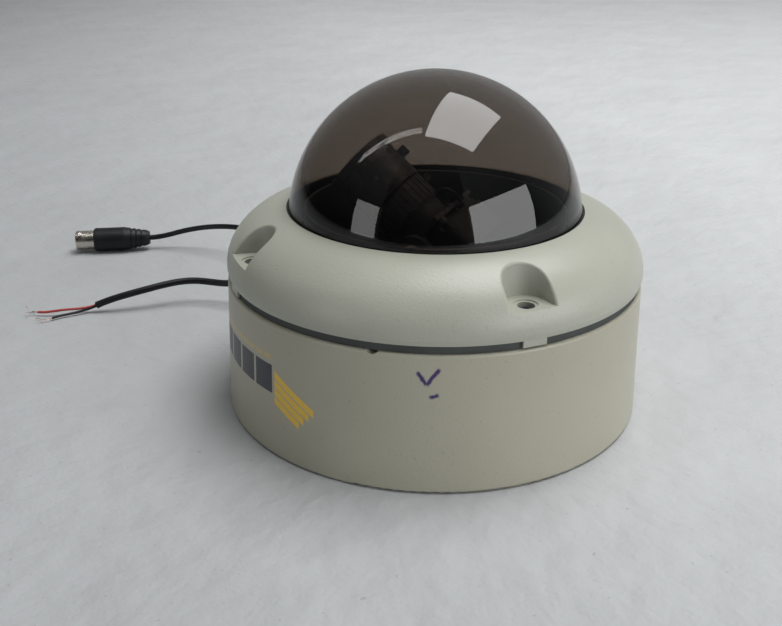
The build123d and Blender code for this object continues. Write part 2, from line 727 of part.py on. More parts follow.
# moulded strain relief: a straight grip, then a taper with shallow grooves
NECK_R = 3.2
NECK_ROUND = 1.5
TAPER_START = 15.0
TAPER_SLOPE = (MOULD_R - NECK_R - NECK_ROUND / 2) / (MOULD_LENGTH - TAPER_START)
GROOVE_START = 18.2
GROOVE_PITCH = 2.5
GROOVE_WIDTH = 1.0
GROOVE_DEPTH = 0.55
with BuildPart() as bnc_strain_relief:
    add(
        around_bnc(
            (BNC_LENGTH + SEAT, TAIL_R + 0.1),
            (BNC_LENGTH + SEAT, MOULD_R - 0.6),
            (BNC_LENGTH + 0.7, MOULD_R),
            (BNC_LENGTH + TAPER_START, MOULD_R),
            (BNC_LENGTH + MOULD_LENGTH - NECK_ROUND, NECK_R + NECK_ROUND / 2),
            (BNC_LENGTH + MOULD_LENGTH - SEAT, NECK_R),
            (BNC_LENGTH + MOULD_LENGTH - SEAT, 0),
            (BARREL_END + SEAT, 0),
            (BARREL_END + SEAT, TAIL_R + 0.1),
        )
    )
    for groove in range(3):
        start = GROOVE_START + groove * GROOVE_PITCH
        floor_r = MOULD_R - TAPER_SLOPE * (start - TAPER_START) - GROOVE_DEPTH
        add(
            around_bnc(
                (BNC_LENGTH + start, floor_r),
                (BNC_LENGTH + start + GROOVE_WIDTH, floor_r),
                (BNC_LENGTH + start + GROOVE_WIDTH, MOULD_R + 1),
                (BNC_LENGTH + start, MOULD_R + 1),
            ),
            mode=Mode.SUBTRACT,
        )
save(bnc_strain_relief.part, "bnc_strain_relief")

# ---- gimbal -------------------------------------------------------------------------

LINER_SEAT_Z = PLATE_TOP + SEAT
LINER_FLANGE = 1.5
LINER_R_HOLE = 35.2
CLEARANCE_R = SCREW_R + 4 * FIT
RING_R = HUB_R + 9
RING_WIDTH = 2.0
RING_HEIGHT = 2.5
STOP_AT = 34.3                   # radius of the stop, just outside the turntable

# fixed plate: carries the turntable in its middle and the liner at its rim
with BuildPart() as gimbal_plate:
    with BuildSketch(Plane.XY.offset(PLATE_Z)):
        Circle(PLATE_R)
        Circle(HUB_R + FIT, mode=Mode.SUBTRACT)
        for azimuth in POST_AZIMUTHS:
            with PolarLocations(POST_CIRCLE_R, 1, start_angle=azimuth):
                Circle(CLEARANCE_R, mode=Mode.SUBTRACT)
    extrude(amount=PLATE_THICK)
    # stiffening ring under the plate
    with BuildSketch(Plane.XY.offset(PLATE_Z)):
        Circle(RING_R + RING_WIDTH / 2)
        Circle(RING_R - RING_WIDTH / 2, mode=Mode.SUBTRACT)
    extrude(amount=-RING_HEIGHT)
    # stop for the turntable
    with BuildSketch(Plane.XY.offset(PLATE_TOP)):
        with Locations((STOP_AT, 0)):
            Rectangle(1.2, 1.6)
    extrude(amount=1.2)
save(gimbal_plate.part, "gimbal_plate")

with BuildPart() as gimbal_screws:
    for azimuth in POST_AZIMUTHS:
        on_liner = Plane.XY.offset(LINER_SEAT_Z + LINER_FLANGE + SEAT)
        screw = pan_screw(on_liner, 2 * SCREW_R, 1.9, SCREW_R, SCREW_BORE_DEPTH - 1)
        add((Pos(POST_CIRCLE_R, 0, 0) * screw).rotate(Axis.Z, azimuth))
save(gimbal_screws.part, "gimbal_screws")

# black trim liner that hides the casting and stands inside the bubble
with BuildPart() as inner_liner:
    add(
        around_z(
            (LINER_R_HOLE, LINER_SEAT_Z),
            (LINER_R_BOTTOM, LINER_SEAT_Z),
            (LINER_R_TOP, LINER_TOP_Z),
            (LINER_R_TOP - LINER_WALL, LINER_TOP_Z),
            (LINER_R_BOTTOM - LINER_WALL, LINER_SEAT_Z + LINER_FLANGE),
            (LINER_R_HOLE, LINER_SEAT_Z + LINER_FLANGE),
        )
    )
    with BuildSketch(Plane.XY.offset(LINER_SEAT_Z)):
        for azimuth in POST_AZIMUTHS:
            with PolarLocations(POST_CIRCLE_R, 1, start_angle=azimuth):
                Circle(CLEARANCE_R)
    extrude(amount=LINER_FLANGE, mode=Mode.SUBTRACT)
    fillet(inner_liner.faces().sort_by(Axis.Z)[-1].edges(), LINER_WALL / 3)
save(inner_liner.part, "inner_liner")

# turntable: a disc with a hub that turns in the plate and a stop finger at its rim
CLIP_Z = PLATE_Z - 0.3
CLIP_THICK = 1.2
CLIP_WIDTH = 3.5
NECK_OF_HUB = HUB_R - 1          # bottom of the groove for the clip
HUB_END = 3.0
FINGER_REACH = 4.2
with BuildPart() as pan_turntable:
    add(
        around_z(
            (HUB_HOLE_R, TURNTABLE_TOP),
            (TURNTABLE_R, TURNTABLE_TOP),
            (TURNTABLE_R, TURNTABLE_Z),
            (HUB_R, TURNTABLE_Z),
            (HUB_R, CLIP_Z),
            (NECK_OF_HUB, CLIP_Z),
            (NECK_OF_HUB, CLIP_Z - CLIP_THICK - 2 * SEAT),
            (HUB_R, CLIP_Z - CLIP_THICK - 2 * SEAT),
            (HUB_R - 0.5, CLIP_Z - HUB_END),
            (HUB_HOLE_R, CLIP_Z - HUB_END),
        )
    )
    with BuildSketch(Plane.XY.offset(TURNTABLE_Z)):
        with Locations((-TURNTABLE_R, 0)):
            Rectangle(FINGER_REACH, 2.4)
    extrude(amount=TURNTABLE_THICK)
    # threaded holes of the yoke screws
    with BuildSketch(Plane.XY.offset(TURNTABLE_TOP)):
        with Locations((0, YOKE_SCREW_Y), (0, -YOKE_SCREW_Y)):
            Circle(SMALL_SCREW_R + FIT)
    extrude(amount=-TURNTABLE_THICK, mode=Mode.SUBTRACT)
save(pan_turntable.part, "pan_turntable")

# spring clip in the groove of the hub
with BuildPart() as pan_clip:
    with BuildSketch(Plane.XY.offset(CLIP_Z - SEAT)):
        Circle(NECK_OF_HUB + CLIP_WIDTH)
        Circle(NECK_OF_HUB + SEAT, mode=Mode.SUBTRACT)
        with Locations((HUB_R, 0)):
            Rectangle(2 * CLIP_WIDTH, 2 * CLIP_WIDTH - 1, mode=Mode.SUBTRACT)
    extrude(amount=-CLIP_THICK)
save(pan_clip.part, "pan_clip")

# U bracket: a foot on the turntable and two arms with round ears
FOOT_Z = TURNTABLE_TOP + SEAT
with BuildPart() as yoke:
    with BuildSketch(Plane.XY.offset(FOOT_Z)):
        Rectangle(YOKE_WIDTH, 2 * (YOKE_IN + YOKE_THICK))
        Circle(HUB_HOLE_R)
        Circle(HUB_HOLE_R - 1.5, mode=Mode.SUBTRACT)
        with Locations((0, YOKE_SCREW_Y), (0, -YOKE_SCREW_Y)):
            Circle(SMALL_SCREW_R + 2 * FIT, mode=Mode.SUBTRACT)
    extrude(amount=YOKE_THICK)
    for side in (1, -1):
        with BuildSketch(Plane(origin=(0, side * YOKE_IN, 0), x_dir=(1, 0, 0), z_dir=(0, side, 0))):
            with Locations((0, -side * (FOOT_Z + PIVOT_Z) / 2)):
                Rectangle(YOKE_WIDTH, PIVOT_Z - FOOT_Z)
            with Locations((0, -side * PIVOT_Z)):
                Circle(EAR_R)
                Circle(TILT_SCREW_R + FIT, mode=Mode.SUBTRACT)
        extrude(amount=YOKE_THICK)
save(yoke.part, "yoke")

with BuildPart() as yoke_screws:
    for side in (1, -1):
        on_foot = Plane.XY.offset(FOOT_Z + YOKE_THICK + SEAT)
        length = YOKE_THICK + TURNTABLE_THICK
        screw = pan_screw(on_foot, SMALL_HEAD_R, SMALL_HEAD_HEIGHT, SMALL_SCREW_R, length)
        add(Pos(0, side * YOKE_SCREW_Y, 0) * screw)
save(yoke_screws.part, "yoke_screws")

# ---- harness inside the base --------------------------------------------------------

JUNCTION_LENGTH = 11.0
HARNESS_R = 1.8
SOCKET_Z = 27.0
SOCKET_HEIGHT = 7.0
SOCKET_DEPTH = 4.0
with BuildPart() as harness_junction:
    with BuildSketch(ENTRY.offset(INSIDE - SEAT)):
        RectangleRounded(14, 6.4, 1.0)
    extrude(amount=-JUNCTION_LENGTH)
save(harness_junction.part, "harness_junction")

HARNESS_START = ENTRY.from_local_coords((0, 0, INSIDE - JUNCTION_LENGTH - 2 * SEAT))
gimbal_harness = along([HARNESS_START, (0, 0, SOCKET_Z)], HARNESS_R, ENTRY_DIR * -1, (0, 0, 1))
save(gimbal_harness, "gimbal_harness")

with BuildPart() as harness_socket:
    with BuildSketch(Plane.XY.offset(SOCKET_Z + SEAT)):
        RectangleRounded(8, 6, 0.6)
    extrude(amount=SOCKET_HEIGHT)
    with BuildSketch(Plane.XY.offset(SOCKET_Z + SEAT + SOCKET_HEIGHT)):
        Rectangle(6, 3.4)
    extrude(amount=-SOCKET_DEPTH, mode=Mode.SUBTRACT)
save(harness_socket.part, "harness_socket")

# ---- camera module ------------------------------------------------------------------

SIDES = (1, -1)
BOARD_HOLES = [(BOARD_HOLE_AT * x, BOARD_HOLE_AT * y) for x in SIDES for y in SIDES]


def board(front):
    """A square circuit board with a hole in each corner, its front face at one distance."""
    with BuildPart() as piece:
        with BuildSketch(LENS.offset(front - BOARD_THICK)):
            RectangleRounded(BOARD, BOARD, 1.5)
            with Locations(*BOARD_HOLES):
                Circle(SMALL_SCREW_R + FIT, mode=Mode.SUBTRACT)
        extrude(amount=BOARD_THICK)
    return piece


# frame: a plate across the lens, four posts for the boards and two arms to the pivots
FRAME_FRONT = FRAME_BACK + 1.5
FRAME_EAR_R = 6.0
NOTCH_WIDTH = 20.4
NOTCH_DEPTH = 2.5
SPACER_R = 2.1
TILT_HEAD_R = 3.6
WASHER_R = 5.0
with BuildPart() as tilt_frame:
    with BuildSketch(LENS.offset(FRAME_BACK)):
        Rectangle(2 * FRAME_OUT, BOARD - 1)
        Circle(HOLDER_R + 0.3, mode=Mode.SUBTRACT)
        with Locations((0, (BOARD - 1) / 2), (0, -(BOARD - 1) / 2)):
            Rectangle(NOTCH_WIDTH, 2 * NOTCH_DEPTH, mode=Mode.SUBTRACT)
    extrude(amount=FRAME_FRONT - FRAME_BACK)
    with BuildSketch(LENS.offset(SEAT)):
        with Locations(*BOARD_HOLES):
            Circle(SPACER_R)
    extrude(amount=FRAME_BACK - SEAT)
    with BuildSketch(LENS.offset(SEAT)):
        with Locations(*BOARD_HOLES):
            Circle(SMALL_SCREW_R + FIT)
    extrude(amount=FRAME_FRONT - SEAT, mode=Mode.SUBTRACT)
    for side in (1, -1):
        arm = Plane(
            origin=PIVOT + Vector(0, side * (FRAME_OUT - FRAME_THICK), 0),
            x_dir=LENS_DIR,
            z_dir=(0, side, 0),
        )
        with BuildSketch(arm):
            Circle(FRAME_EAR_R)
            with Locations((FRAME_FRONT / 2, 0)):
                Rectangle(FRAME_FRONT, 2 * FRAME_EAR_R)
            Circle(TILT_SCREW_R + FIT, mode=Mode.SUBTRACT)
        extrude(amount=FRAME_THICK)
save(tilt_frame.part, "tilt_frame")

# pivot screws and their friction washers
with BuildPart() as tilt_screws:
    for side in (1, -1):
        seat = Plane(origin=(0, side * (YOKE_IN + YOKE_THICK + SEAT), PIVOT_Z), z_dir=(0, side, 0))
        length = YOKE_IN + YOKE_THICK - FRAME_OUT + FRAME_THICK
        add(pan_screw(seat, TILT_HEAD_R, 1.9, TILT_SCREW_R, length))
save(tilt_screws.part, "tilt_screws")

with BuildPart() as tilt_washers:
    for side in (1, -1):
        with BuildSketch(Plane(origin=(0, side * (FRAME_OUT + SEAT), PIVOT_Z), z_dir=(0, side, 0))):
            Circle(WASHER_R)
            Circle(TILT_SCREW_R + 2 * FIT, mode=Mode.SUBTRACT)
        extrude(amount=YOKE_IN - FRAME_OUT - 2 * SEAT)
save(tilt_washers.part, "tilt_washers")

sensor_board = board(0)
save(sensor_board.part, "sensor_board")
rear_board = board(REAR_BOARD_AT + BOARD_THICK)
save(rear_board.part, "rear_board")

with BuildPart() as board_spacers:
    with BuildSketch(LENS.offset(REAR_BOARD_AT + BOARD_THICK + SEAT)):
        with Locations(*BOARD_HOLES):
            Circle(SPACER_R)
            Circle(SMALL_SCREW_R + FIT, mode=Mode.SUBTRACT)
    extrude(amount=-REAR_BOARD_AT - 2 * BOARD_THICK - 2 * SEAT)
save(board_spacers.part, "board_spacers")

with BuildPart() as board_screws:
    for x, y in BOARD_HOLES:
        behind_board = LENS.from_local_coords((x, y, REAR_BOARD_AT - SEAT))
        seat = Plane(origin=behind_board, z_dir=LENS_DIR * -1)
        length = FRAME_BACK - REAR_BOARD_AT + 0.8
        add(pan_screw(seat, SPACER_R, 1.3, SMALL_SCREW_R, length))
save(board_screws.part, "board_screws")

with BuildPart() as image_sensor:
    with BuildSketch(LENS.offset(SEAT)):
        Rectangle(9, 8)
    extrude(amount=1.2)
save(image_sensor.part, "image_sensor")

# lens holder: a square foot on the sensor board and a threaded tube
FOOT_SIZE = 20.0
FOOT_WINDOW_R = 6.5
with BuildPart() as lens_holder:
    with BuildSketch(LENS.offset(SEAT)):
        Rectangle(FOOT_SIZE, FOOT_SIZE)
        Circle(FOOT_WINDOW_R, mode=Mode.SUBTRACT)
    extrude(amount=FRAME_BACK - 3 * SEAT)
    with BuildSketch(LENS.offset(FRAME_BACK - 2 * SEAT)):
        Circle(HOLDER_R)
        Circle(THREAD_R + FIT, mode=Mode.SUBTRACT)
    extrude(amount=HOLDER_FRONT - FRAME_BACK + 2 * SEAT)
save(lens_holder.part, "lens_holder")

with BuildPart() as ir_filter:
    with BuildSketch(LENS.offset(FRAME_BACK)):
        Circle(THREAD_R - FIT)
    extrude(amount=0.8)
save(ir_filter.part, "ir_filter")

# black cap behind the boards
CAP_CORNER_R = 3.0
CONNECTOR_Y = 8.0                # connector and lead stand off the middle of the boards
CONNECTOR_DEPTH = 2.2
LEAD_R = 1.1
with BuildPart() as rear_cap:
    with BuildSketch(LENS.offset(CAP_BACK)):
        RectangleRounded(CAP_SIZE, CAP_SIZE, CAP_CORNER_R)
    extrude(amount=-CAP_BACK - BOARD_THICK - 0.1)
    fillet(rear_cap.faces().sort_by(LENS_AXIS)[0].edges(), 0.8)
    with BuildSketch(LENS.offset(CAP_BACK + CAP_WALL)):
        inside = CAP_SIZE - 2 * CAP_WALL
        RectangleRounded(inside, inside, CAP_CORNER_R - CAP_WALL)
    extrude(amount=-CAP_BACK, mode=Mode.SUBTRACT)
    with BuildSketch(LENS.offset(CAP_BACK)):
        with Locations((0, CONNECTOR_Y)):
            Circle(LEAD_R + 0.5)
    extrude(amount=CAP_WALL, mode=Mode.SUBTRACT)
save(rear_cap.part, "rear_cap")

with BuildPart() as board_connector:
    with BuildSketch(LENS.offset(REAR_BOARD_AT - SEAT)):
        with Locations((0, CONNECTOR_Y)):
            Rectangle(10, 5)
    extrude(amount=-CONNECTOR_DEPTH)
save(board_connector.part, "board_connector")

# short lead with a plug, folded behind the cap
PLUG_BACK = -18.2
PLUG_DEPTH = 3.4
connector_back = REAR_BOARD_AT - CONNECTOR_DEPTH - 2 * SEAT
lead_start = LENS.from_local_coords((0, CONNECTOR_Y, connector_back))
lead_out = LENS.from_local_coords((0, CONNECTOR_Y, CAP_BACK - 0.3))
lead_end = LENS.from_local_coords((0, -2, PLUG_BACK + PLUG_DEPTH / 2))
LEAD_SIDE = LENS.from_local_coords((0, -1, 0)) - LENS.origin
with BuildPart() as module_lead:
    add(along([lead_out, lead_end], LEAD_R, LENS_DIR * -1, LEAD_SIDE))
    with BuildSketch(Plane(lead_start, z_dir=LENS_DIR * -1)):
        Circle(LEAD_R)
    extrude(amount=(lead_out - lead_start).length)
save(module_lead.part, "module_lead")

with BuildPart() as module_plug:
    with BuildSketch(LENS.offset(PLUG_BACK)):
        with Locations((0, -6.6)):
            RectangleRounded(7, 9, 0.6)
    extrude(amount=PLUG_DEPTH)
save(module_plug.part, "module_plug")

# ---- varifocal lens -----------------------------------------------------------------

# fixed barrel: a threaded end, a flange and the tube the cells slide in
BARREL_BACK = FRAME_BACK + 1.0
REAR_BORE_R = 7.0
BORE_BACK = ZOOM_BACK + 0.8
STEP_R = ZOOM_R - 0.8            # flange in front of the holder
STEP_FRONT = ZOOM_BACK - 2 * SEAT
with BuildPart() as lens_barrel:
    add(
        around_lens(
            (REAR_BORE_R, BARREL_BACK),
            (THREAD_R, BARREL_BACK),
            (THREAD_R, HOLDER_FRONT + SEAT),
            (STEP_R, HOLDER_FRONT + SEAT),
            (STEP_R, STEP_FRONT),
            (BARREL_R, STEP_FRONT),
            (BARREL_R, BARREL_FRONT),
            (BARREL_BORE_R, BARREL_FRONT),
            (BARREL_BORE_R, BORE_BACK),
            (REAR_BORE_R, BORE_BACK),
        )
    )
save(lens_barrel.part, "lens_barrel")


def element(radius, back, front, bulge):
    """A lens element with both faces raised in the middle, between two distances at its rim."""
    return around_lens((0, back - bulge), (radius, back), (radius, front), (0, front + bulge))


rear_glass = element(REAR_BORE_R - 2 * FIT, 5.2, 8.0, 0.6)
save(rear_glass, "rear_glass")

CELL_R = BARREL_BORE_R - FIT
CELL_BORE_R = 7.4
ZOOM_CELL_BACK = 13.0
ZOOM_CELL_FRONT = 18.0
zoom_cell = around_lens(
    (CELL_BORE_R, ZOOM_CELL_BACK),
    (CELL_R, ZOOM_CELL_BACK),
    (CELL_R, ZOOM_CELL_FRONT),
    (CELL_BORE_R, ZOOM_CELL_FRONT),
)
save(zoom_cell, "zoom_cell")
zoom_glass = element(CELL_BORE_R - FIT, ZOOM_CELL_BACK + 1.4, ZOOM_CELL_FRONT - 1.4, 0.8)
save(zoom_glass, "zoom_glass")

# front cell: a tail that slides in the barrel and a head that carries the front glass
TAIL_BORE_R = 7.6
TAIL_BACK = 24.5
HEAD_BACK = 34.0
HEAD_FRONT = 38.0
GLASS_SEAT = 35.4
focus_cell = around_lens(
    (TAIL_BORE_R, TAIL_BACK),
    (CELL_R, TAIL_BACK),
    (CELL_R, HEAD_BACK),
    (HEAD_BORE_R - FIT, HEAD_BACK),
    (HEAD_BORE_R - FIT, HEAD_FRONT),
    (FRONT_GLASS_R + FIT, HEAD_FRONT),
    (FRONT_GLASS_R + FIT, GLASS_SEAT),
    (TAIL_BORE_R, GLASS_SEAT),
)
save(focus_cell, "focus_cell")

GLASS_CURVE = 40.0
GLASS_FRONT = HEAD_FRONT - 0.5
GLASS_CENTRE = GLASS_FRONT - GLASS_CURVE
GLASS_REACH = math.degrees(math.asin(FRONT_GLASS_R / GLASS_CURVE))
with BuildPart() as front_glass:
    with BuildSketch(LENS_SECTION):
        with BuildLine():
            crown = CenterArc((0, GLASS_CENTRE), GLASS_CURVE, 90 - GLASS_REACH, GLASS_REACH)
            Polyline(
                crown @ 1,
                (0, GLASS_SEAT - 0.6),
                (TAIL_BORE_R - 0.2, GLASS_SEAT + SEAT),
                (FRONT_GLASS_R, GLASS_SEAT + SEAT),
                crown @ 0,
            )
        make_face()
    revolve(axis=LENS_AXIS)
save(front_glass.part, "front_glass")

# threaded ring that keeps the front glass in its cell
RING_FRONT = HEAD_FRONT - 0.1
glass_ring = around_lens(
    (FRONT_GLASS_R - 0.85, RING_FRONT - 0.9),
    (FRONT_GLASS_R, RING_FRONT - 1.2),
    (FRONT_GLASS_R, RING_FRONT),
    (FRONT_GLASS_R - 0.45, RING_FRONT),
)
save(glass_ring, "glass_ring")


def lock_plane(distance, radius):
    """Plane across the lock screws, at one distance along the lens and one radius from it."""
    turn = math.radians(LOCK_ANGLE)
    foot = LENS.from_local_coords((0, 0, distance))
    origin = LENS.from_local_coords((radius * math.cos(turn), radius * math.sin(turn), distance))
    return Plane(origin=origin, z_dir=origin - foot)


LOCK_SHANK_R = 0.9
GRIP_COUNT = 30
GRIP_R = 0.35
LOCK_ROOT_R = BARREL_R - 1       # inside the barrel wall, where the lock holes start
with BuildPart() as zoom_ring:
    with BuildSketch(LENS.offset(ZOOM_BACK)):
        Circle(ZOOM_R)
        Circle(BARREL_R + FIT, mode=Mode.SUBTRACT)
        with PolarLocations(ZOOM_R, GRIP_COUNT):
            Circle(GRIP_R, mode=Mode.SUBTRACT)
    extrude(amount=ZOOM_FRONT - ZOOM_BACK)
    with BuildSketch(lock_plane(ZOOM_LOCK_AT, LOCK_ROOT_R)):
        Circle(LOCK_SHANK_R + FIT)
    extrude(amount=ZOOM_R, mode=Mode.SUBTRACT)
save(zoom_ring.part, "zoom_ring")

# focus ring: a sleeve with a turned groove at the back and a flared rim at the front
EDGE = 0.3
RIM_EDGE = 0.4
BEAD = FOCUS_BACK + 1.2          # back edge of the turned groove
HEAD_ROOM = BARREL_FRONT + 0.6   # where the bore widens for the head of the front cell
with BuildPart() as focus_ring:
    add(
        around_lens(
            (BARREL_R + FIT, FOCUS_BACK),
            (FOCUS_R - EDGE, FOCUS_BACK),
            (FOCUS_R, FOCUS_BACK + EDGE),
            (FOCUS_R, BEAD),
            (FOCUS_R - EDGE, BEAD + 0.1),
            (FOCUS_R - EDGE, BEAD + 0.5),
            (FOCUS_R, BEAD + 0.6),
            (FOCUS_R, RIM_BACK),
            (RIM_R, RIM_BACK + RIM_EDGE),
            (RIM_R, RIM_FRONT - RIM_EDGE),
            (RIM_R - RIM_EDGE, RIM_FRONT),
            (HEAD_BORE_R + RIM_EDGE, RIM_FRONT),
            (HEAD_BORE_R, RIM_FRONT - RIM_EDGE),
            (HEAD_BORE_R, HEAD_ROOM),
            (BARREL_R + FIT, HEAD_ROOM),
        )
    )
    with BuildSketch(lock_plane(FOCUS_LOCK_AT, LOCK_ROOT_R)):
        Circle(LOCK_SHANK_R + FIT)
    extrude(amount=ZOOM_R, mode=Mode.SUBTRACT)
save(focus_ring.part, "focus_ring")


HEAD_GAP = 0.1
SLOT = 0.5


def lock_screw(distance, ring_r, head_r, head_height):
    """A thumbscrew with a slotted round head that clamps a ring to the barrel."""
    under_head = ring_r + HEAD_GAP
    shank_end = BARREL_R + 2 * FIT
    with BuildPart() as piece:
        with BuildSketch(lock_plane(distance, under_head)):
            Circle(head_r)
        extrude(amount=head_height)
        with BuildSketch(lock_plane(distance, shank_end)):
            Circle(LOCK_SHANK_R)
        extrude(amount=under_head + HEAD_GAP - shank_end)
        with BuildSketch(lock_plane(distance, under_head + head_height)):
            Rectangle(2 * head_r, SLOT)
        extrude(amount=-SLOT, mode=Mode.SUBTRACT)
    return piece.part


zoom_lock = lock_screw(ZOOM_LOCK_AT, ZOOM_R, 1.5, 2.2)
save(zoom_lock, "zoom_lock")
focus_lock = lock_screw(FOCUS_LOCK_AT, FOCUS_R, 1.9, 2.8)
save(focus_lock, "focus_lock")

# auto-iris lead: from the flange of the barrel, round the frame, to a plug on the board
def beside_lens(radius, distance):
    """A point off the lens axis on the side of the lock screws."""
    return lock_plane(distance, radius).origin


IRIS_R = 0.6
IRIS_OUT = lock_plane(0, 1).z_dir
iris_lead = along(
    [
        beside_lens(STEP_R + 2 * SEAT, 10.3),
        beside_lens(15.0, 9.2),
        beside_lens(16.2, 5.6),
        beside_lens(16.0, 2.15),
    ],
    IRIS_R,
    IRIS_OUT,
    LENS_DIR * -1,
)
save(iris_lead, "iris_lead")
with BuildPart() as iris_plug:
    with BuildSketch(LENS.offset(SEAT)):
        with Locations((7.9, -13.5)):
            Rectangle(4.4, 2.6)
    extrude(amount=2.0)
save(iris_plug.part, "iris_plug")
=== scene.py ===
import json
import math

import bpy
from mathutils import Matrix, Vector


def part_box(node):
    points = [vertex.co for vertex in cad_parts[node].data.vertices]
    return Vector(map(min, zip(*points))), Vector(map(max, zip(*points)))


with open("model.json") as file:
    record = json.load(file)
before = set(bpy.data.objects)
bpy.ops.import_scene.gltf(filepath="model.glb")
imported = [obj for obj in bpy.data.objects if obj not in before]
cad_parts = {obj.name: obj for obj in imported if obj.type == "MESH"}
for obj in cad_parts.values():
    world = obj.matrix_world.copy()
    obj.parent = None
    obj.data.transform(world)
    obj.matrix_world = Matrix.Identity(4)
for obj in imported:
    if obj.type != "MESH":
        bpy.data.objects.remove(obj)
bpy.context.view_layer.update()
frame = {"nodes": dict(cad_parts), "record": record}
MM = 0.001

# ---- shader helpers -----------------------------------------------------------------


def new_material(name):
    """An empty node material and the socket its surface shader goes into."""
    material = bpy.data.materials.new(name)
    material.use_nodes = True
    tree = material.node_tree
    tree.nodes.clear()
    output = tree.nodes.new("ShaderNodeOutputMaterial")
    return material, tree, output.inputs["Surface"]


def put(tree, socket, value):
    """Links a socket to another socket, or sets it to a plain value."""
    if isinstance(value, bpy.types.NodeSocket):
        tree.links.new(value, socket)
    else:
        socket.default_value = value


def node(tree, kind, inputs=None, **settings):
    """A node with its settings and inputs given by name or number."""
    made = tree.nodes.new(kind)
    for name, value in settings.items():
        setattr(made, name, value)
    for name, value in (inputs or {}).items():
        put(tree, made.inputs[name], value)
    return made


def calc(tree, operation, *values):
    """One math node, giving its result."""
    made = tree.nodes.new("ShaderNodeMath")
    made.operation = operation
    for index, value in enumerate(values):
        put(tree, made.inputs[index], value)
    return made.outputs[0]


def place(tree):
    """The point on the surface in the row frame, in metres."""
    return tree.nodes.new("ShaderNodeTexCoord").outputs["Object"]


def noise(tree, scale, detail=2.0, roughness=0.5):
    """Smooth noise over the surface; scale is in cycles per metre."""
    made = node(
        tree,
        "ShaderNodeTexNoise",
        {
            "Vector": place(tree),
            "Scale": scale,
            "Detail": detail,
            "Roughness": roughness,
        },
    )
    return made.outputs["Fac"]


def spread(tree, value, low, high, new_low, new_high):
    """Maps a value from one range to another, clamped."""
    made = node(tree, "ShaderNodeMapRange", {0: value, 1: low, 2: high, 3: new_low, 4: new_high})
    return made.outputs[0]


def blend(tree, factor, first, second):
    """A colour mixed from two."""
    made = tree.nodes.new("ShaderNodeMix")
    made.data_type = "RGBA"
    put(tree, made.inputs["Factor"], factor)
    put(tree, made.inputs["A"], first)
    put(tree, made.inputs["B"], second)
    return made.outputs["Result"]


def times(tree, first, second):
    """Two colours multiplied, or a colour scaled by a value."""
    made = tree.nodes.new("ShaderNodeMix")
    made.data_type = "RGBA"
    made.blend_type = "MULTIPLY"
    put(tree, made.inputs["Factor"], 1.0)
    put(tree, made.inputs["A"], first)
    put(tree, made.inputs["B"], second)
    return made.outputs["Result"]


def bump(tree, height, distance, normal=None):
    """A bumped normal; distance is the height of the relief in metres."""
    inputs = {"Height": height, "Distance": distance, "Strength": 1.0}
    if normal is not None:
        inputs["Normal"] = normal
    return node(tree, "ShaderNodeBump", inputs).outputs["Normal"]


def grey(value):
    """An even grey, or white at one."""
    return (value, value, value, 1.0)


def colour(red, green, blue):
    """An opaque colour in linear values."""
    return (red, green, blue, 1.0)


# ---- materials ----------------------------------------------------------------------

CREAM = colour(0.375, 0.361, 0.285)
PALE_GREY = colour(0.370, 0.374, 0.315)
NAVY = colour(0.020, 0.024, 0.034)
OCHRE = colour(0.74, 0.48, 0.055)
PALE_OCHRE = colour(0.50, 0.40, 0.18)
VIOLET = colour(0.040, 0.022, 0.110)
# the wall of the base, and the marks printed and drawn on it
BASE_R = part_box("base_housing")[1].x
BASE_R_INSIDE = BASE_R - 2.9 * MM
PRINT_AZIMUTH = math.radians(-113.5)
BLOCK_COUNT = 4
BLOCK_WIDTH = 9.5 * MM
BLOCK_GAP = 1.3 * MM
BLOCK_BOTTOM = 22.6 * MM
BLOCK_TOP = 32.6 * MM
STRIPE_COUNT = 4
STRIPE_TOP = 30.4 * MM
STRIPE_PITCH = 3.0 * MM
STRIPE_WIDTH = 2.5 * MM
STRIPE_LENGTH = 18.5 * MM
STRIPE_STEP = 2.0 * MM
STRIPE_SLOPE = 0.50
DASH_BOTTOM = 34.4 * MM
DASH_HEIGHT = 1.6 * MM
DASH_REPEAT = 2.4 * MM
DASH_GAP = 0.5 * MM
PEN_WIDTH = 1.25 * MM
PEN_STROKES = (
    ((53.0 * MM, 41.6 * MM), (55.8 * MM, 37.4 * MM)),
    ((55.8 * MM, 37.4 * MM), (59.8 * MM, 42.6 * MM)),
    ((56.9 * MM, 33.2 * MM), (59.6 * MM, 34.2 * MM)),
)
# the bubble's sphere: its centre height, and a radius between its two skins
DOME_R = 51.6 * MM
DOME_WALL = 2.4 * MM
DOME_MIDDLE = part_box("dome_bubble")[1].z - DOME_R
DOME_SPLIT = DOME_R - DOME_WALL / 2
# how much of the light the bubble mirrors head on, and what is added at a grazing angle
MIRROR_HEAD_ON = 0.042
MIRROR_GRAZING = 0.85
INNER_SKIN_SHARE = 0.35
DUST = 0.0025


def powder_coat(tree, base_colour, surface):
    """Satin powder coat: orange peel, fine grain and faint handling marks."""
    peel = noise(tree, 1150, detail=2.0)
    grain = noise(tree, 4200, detail=1.0)
    cloud = noise(tree, 22, detail=3.0)
    tone = blend(tree, spread(tree, cloud, 0.35, 0.65, 0.0, 1.0), grey(0.955), grey(1.03))
    speck = spread(tree, noise(tree, 900, detail=0.0), 0.20, 0.235, 0.90, 1.0)
    worn = times(tree, times(tree, base_colour, tone), speck)
    relief = bump(tree, peel, 0.000075)
    relief = bump(tree, grain, 0.000014, normal=relief)
    shader = node(
        tree,
        "ShaderNodeBsdfPrincipled",
        {
            "Base Color": worn,
            "Roughness": spread(tree, grain, 0.3, 0.7, 0.30, 0.44),
            "IOR": 1.5,
            "Normal": relief,
        },
    )
    tree.links.new(shader.outputs[0], surface)


